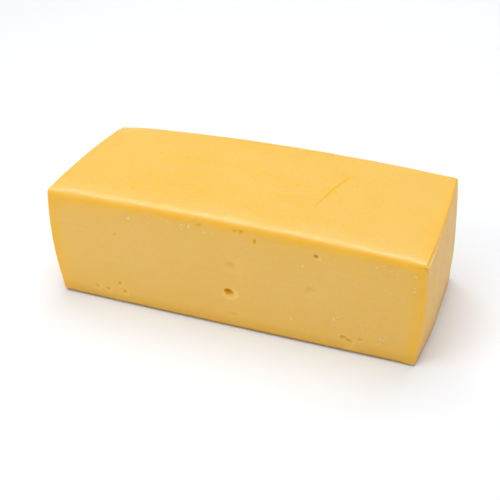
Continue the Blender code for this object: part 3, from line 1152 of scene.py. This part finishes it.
class CHEDDAR_OT_block(bpy.types.Operator):
    """Model the block of cheddar over its CAD node"""

    bl_idname = "cheddar.block"
    bl_label = "Cheddar block"

    def execute(self, context):
        sizes = context.scene.cheddar_sizes
        block = square_block(sizes)
        refine_details(block, sizes)
        mesh = block.data
        squared = read_places(mesh)
        top = squared[:, 2] > sizes.height - TOLERANCE
        push, sunk, ring = sink_hollows(squared, sizes)
        scored = np.max([score_mask(squared, score) for score in SCORES.values()], axis=0) * top

        places = round_edges(squared, sizes)
        places[:, 2] += foot_lift(squared, sizes)
        places = settle(places, sizes) + push
        places[:, 2] -= scored * sizes.score_depth
        write_places(mesh, places + foot_shift(sizes))

        for name, mask in surface_masks(squared, sizes).items():
            write_mask(mesh, name, mask)
        # The painted shade of the hollows and the painted highlight of their rings
        write_mask(mesh, "sunk", sunk)
        write_mask(mesh, "ring", ring)
        stained = STAIN_SHARE * spot_mask(squared, STAINS) * top
        write_mask(mesh, "score", np.maximum(scored, stained))
        write_mask(mesh, "speck", spot_mask(squared, SPECKS) * top)
        waver_skin(block, sizes)

        bpy.ops.object.shade_smooth()
        mesh.materials.append(cheddar_material(context.scene.cheddar_colours))
        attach(block, BODY)
        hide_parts(NODE)
        return {"FINISHED"}


def flake_master(shape, seed):
    """One torn flake, lying flat on the XY plane with its middle at the origin, 1 m long."""
    width, thickness, curl = shape
    deselect_everything()
    bpy.ops.mesh.primitive_ico_sphere_add(subdivisions=2, radius=0.5, location=(0, 0, 0))
    flake = bpy.context.object
    bpy.ops.object.mode_set(mode="EDIT")
    bpy.ops.mesh.select_all(action="SELECT")
    bpy.ops.transform.resize(value=(1.0, width, thickness))
    bpy.ops.transform.vertex_random(offset=FLAKE_RAGGED, uniform=0.3, normal=0.0, seed=seed)
    bpy.ops.mesh.vertices_smooth(factor=FLAKE_SMOOTH)
    bpy.ops.object.mode_set(mode="OBJECT")
    bend = flake.modifiers.new("curl", "SIMPLE_DEFORM")
    bend.deform_method = "BEND"
    bend.deform_axis = "Z"
    bend.angle = math.radians(curl)
    bpy.ops.object.modifier_apply(modifier=bend.name)
    return flake


def stand_against(side):
    """The turn that stands a flat flake against an upright side."""
    _, out, sign = SIDE_AXES[side]
    if out == 1:
        return Matrix.Rotation(-sign * math.pi / 2, 4, "X")
    return Matrix.Rotation(sign * math.pi / 2, 4, "Y")


def side_spot(block, side, along, up, sizes):
    """The place on the block's skin of a spot on an upright side, kept off the side's edges."""
    run, out, sign = SIDE_AXES[side]
    half = half_sizes(sizes)
    spot = np.zeros((1, 3))
    spot[0, run] = min(max(along, FLAKE_MARGIN - half[run]), half[run] - FLAKE_MARGIN)
    spot[0, out] = sign * half[out]
    spot[0, 2] = min(max(up, FLAKE_MARGIN), sizes.height - FLAKE_MARGIN)
    over = Vector(settle(spot, sizes)[0] + foot_shift(sizes))
    on_skin = block.closest_point_on_mesh(over)[1]
    on_skin[out] -= sign * FLAKE_SINK
    return on_skin


def place_flake(master, block, side, along, up, size, turn, sizes):
    """A copy of a flake, half sunk in an upright side."""
    flake = master.copy()
    flake.data = master.data.copy()
    bpy.context.scene.collection.objects.link(flake)
    flake.matrix_world = (
        Matrix.Translation(side_spot(block, side, along, up, sizes))
        @ stand_against(side)
        @ Matrix.Rotation(turn, 4, "Z")
        @ Matrix.Scale(size, 4)
    )
    return flake


class CHEDDAR_OT_flakes(bpy.types.Operator):
    """Scatter torn flakes over the upright sides in their torn spots"""

    bl_idname = "cheddar.flakes"
    bl_label = "Torn flakes"

    def execute(self, context):
        sizes = context.scene.cheddar_sizes
        block = bpy.data.objects[BLOCK_NAME]
        draw = random.Random(FLAKE_SEED)
        masters = [
            flake_master(shape, FLAKE_SEED + n) for n, shape in enumerate(FLAKE_SHAPES.values())
        ]
        flakes = []
        for side, spots in TORN_SPOTS.items():
            for along, up, spread_along, spread_up, count, longest in spots.values():
                for _ in range(count):
                    flakes.append(place_flake(
                        draw.choice(masters), block, side,
                        along + draw.uniform(-1, 1) * spread_along,
                        up + draw.uniform(-1, 1) * spread_up,
                        longest * draw.uniform(*FLAKE_LENGTHS),
                        draw.uniform(0, math.tau), sizes,
                    ))
        for along, up, length, turn in LARGE_FLAKES.values():
            flakes.append(place_flake(
                masters[0], block, "front", along, up, length, math.radians(turn), sizes,
            ))
        deselect_everything()
        for master in masters:
            bpy.data.objects.remove(master, do_unlink=True)
        for flake in flakes:
            flake.select_set(True)
        context.view_layer.objects.active = flakes[0]
        bpy.ops.object.join()
        piece = context.object
        piece.name = "torn_flakes"
        piece.data.name = "torn_flakes"
        bpy.ops.object.transform_apply(location=True, rotation=True, scale=True)
        bpy.ops.object.shade_smooth()
        piece.data.materials.append(flake_material(context.scene.cheddar_colours))
        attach(piece, BODY)
        return {"FINISHED"}


def floor_material(colours):
    """Matte pale studio floor that fades into the white surround far from the block."""
    material, tree, shader, place = new_material("studio_floor")
    dimmer = [channel * FLOOR_DIM for channel in colours.floor]
    floor = mix_colour(tree, noise_mask(tree, place, "floor_tone"), dimmer, colours.floor)
    reach = tree.nodes.new("ShaderNodeVectorMath")
    reach.operation = "LENGTH"
    tree.links.new(place, reach.inputs[0])
    fade = tree.nodes.new("ShaderNodeMapRange")
    fade.interpolation_type = "SMOOTHSTEP"
    fade.inputs["From Min"].default_value = FLOOR_FADE[0]
    fade.inputs["From Max"].default_value = FLOOR_FADE[1]
    tree.links.new(reach.outputs["Value"], fade.inputs["Value"])
    floor = mix_colour(tree, fade.outputs["Result"], floor, (0.0, 0.0, 0.0))
    tree.links.new(floor, shader.inputs["Base Color"])
    shader.inputs["Emission Color"].default_value = (1.0, 1.0, 1.0, 1.0)
    tree.links.new(fade.outputs["Result"], shader.inputs["Emission Strength"])
    shader.inputs["Roughness"].default_value = FLOOR_ROUGHNESS
    shader.inputs["Specular IOR Level"].default_value = FLOOR_SHINE
    return material


def add_soft_light(name, place, width, power):
    """A soft square light that looks at the block."""
    deselect_everything()
    bpy.ops.object.light_add(type="AREA", location=place)
    light = bpy.context.object
    light.name = name
    light.data.name = name
    light.data.size = width
    light.data.energy = power
    away = Vector(LIGHT_AIM) - Vector(place)
    light.rotation_euler = away.to_track_quat("-Z", "Y").to_euler()
    light.visible_camera = False


def add_surround(scene, strength):
    """A surround that is white behind the floor and lights the block by its strength."""
    world = bpy.data.worlds.new("studio_surround")
    scene.world = world
    world.use_nodes = True
    tree = world.node_tree
    background = tree.nodes["Background"]
    background.inputs["Color"].default_value = (1.0, 1.0, 1.0, 1.0)
    seen = tree.nodes.new("ShaderNodeLightPath").outputs["Is Camera Ray"]
    tree.links.new(arithmetic(tree, "ADD", seen, strength), background.inputs["Strength"])


class CHEDDAR_OT_stage(bpy.types.Operator):
    """Set the pale floor, the soft lights and the camera"""

    bl_idname = "cheddar.stage"
    bl_label = "Studio stage"

    def execute(self, context):
        scene = context.scene
        settings = scene.cheddar_stage
        deselect_everything()
        bpy.ops.mesh.primitive_plane_add(size=1.0, location=(0, 0, 0))
        floor = bpy.context.object
        floor.name = "studio_floor"
        bpy.ops.object.mode_set(mode="EDIT")
        bpy.ops.mesh.select_all(action="SELECT")
        bpy.ops.transform.resize(value=(FLOOR_SPAN, FLOOR_SPAN, 1))
        bpy.ops.object.mode_set(mode="OBJECT")
        floor.data.materials.append(floor_material(scene.cheddar_colours))

        for name, (place, width) in LIGHT_PLACES.items():
            add_soft_light(name, place, width, getattr(settings, name))
        add_surround(scene, settings.sky)
        scene.view_settings.view_transform = "Standard"

        deselect_everything()
        bpy.ops.object.camera_add(location=settings.camera_place)
        camera = bpy.context.object
        camera.name = "studio_camera"
        camera.data.name = "studio_camera"
        camera.data.sensor_width = SENSOR_WIDTH
        camera.data.lens = settings.lens
        camera.data.clip_start = CLIP_START
        camera.data.clip_end = CLIP_END
        azimuth, elevation, roll = (math.radians(a) for a in settings.camera_turn)
        turn = (
            Matrix.Rotation(azimuth, 3, "Z")
            @ Matrix.Rotation(math.pi / 2 - elevation, 3, "X")
            @ Matrix.Rotation(roll, 3, "Z")
        )
        camera.rotation_euler = turn.to_euler()
        scene.camera = camera
        return {"FINISHED"}


class VIEW3D_PT_cheddar(bpy.types.Panel):
    """Sidebar panel that lists the pieces"""

    bl_label = "Cheddar block"
    bl_space_type = "VIEW_3D"
    bl_region_type = "UI"
    bl_category = "Cheddar"

    def draw(self, context):
        layout = self.layout
        for operator in PIECE_OPERATORS:
            layout.operator(operator.bl_idname)
        for group_name in SETTINGS:
            group = getattr(context.scene, group_name)
            for name in group.__annotations__:
                layout.prop(group, name)


PIECE_OPERATORS = (CHEDDAR_OT_block, CHEDDAR_OT_flakes, CHEDDAR_OT_stage)
SETTINGS = {
    "cheddar_sizes": CheddarSizes,
    "cheddar_colours": CheddarColours,
    "cheddar_stage": CheddarStage,
}


def register():
    """Register the settings, the operators and the panel."""
    for name, group in SETTINGS.items():
        bpy.utils.register_class(group)
        setattr(bpy.types.Scene, name, bpy.props.PointerProperty(type=group))
    for thing in (*PIECE_OPERATORS, VIEW3D_PT_cheddar):
        bpy.utils.register_class(thing)


def unregister():
    """Take back what register set up."""
    for thing in (VIEW3D_PT_cheddar, *reversed(PIECE_OPERATORS)):
        bpy.utils.unregister_class(thing)
    for name, group in reversed(SETTINGS.items()):
        delattr(bpy.types.Scene, name)
        bpy.utils.unregister_class(group)


def main():
    """Make every piece."""
    register()
    bpy.ops.cheddar.block()
    bpy.ops.cheddar.flakes()
    bpy.ops.cheddar.stage()


if __name__ == "__main__":
    main()
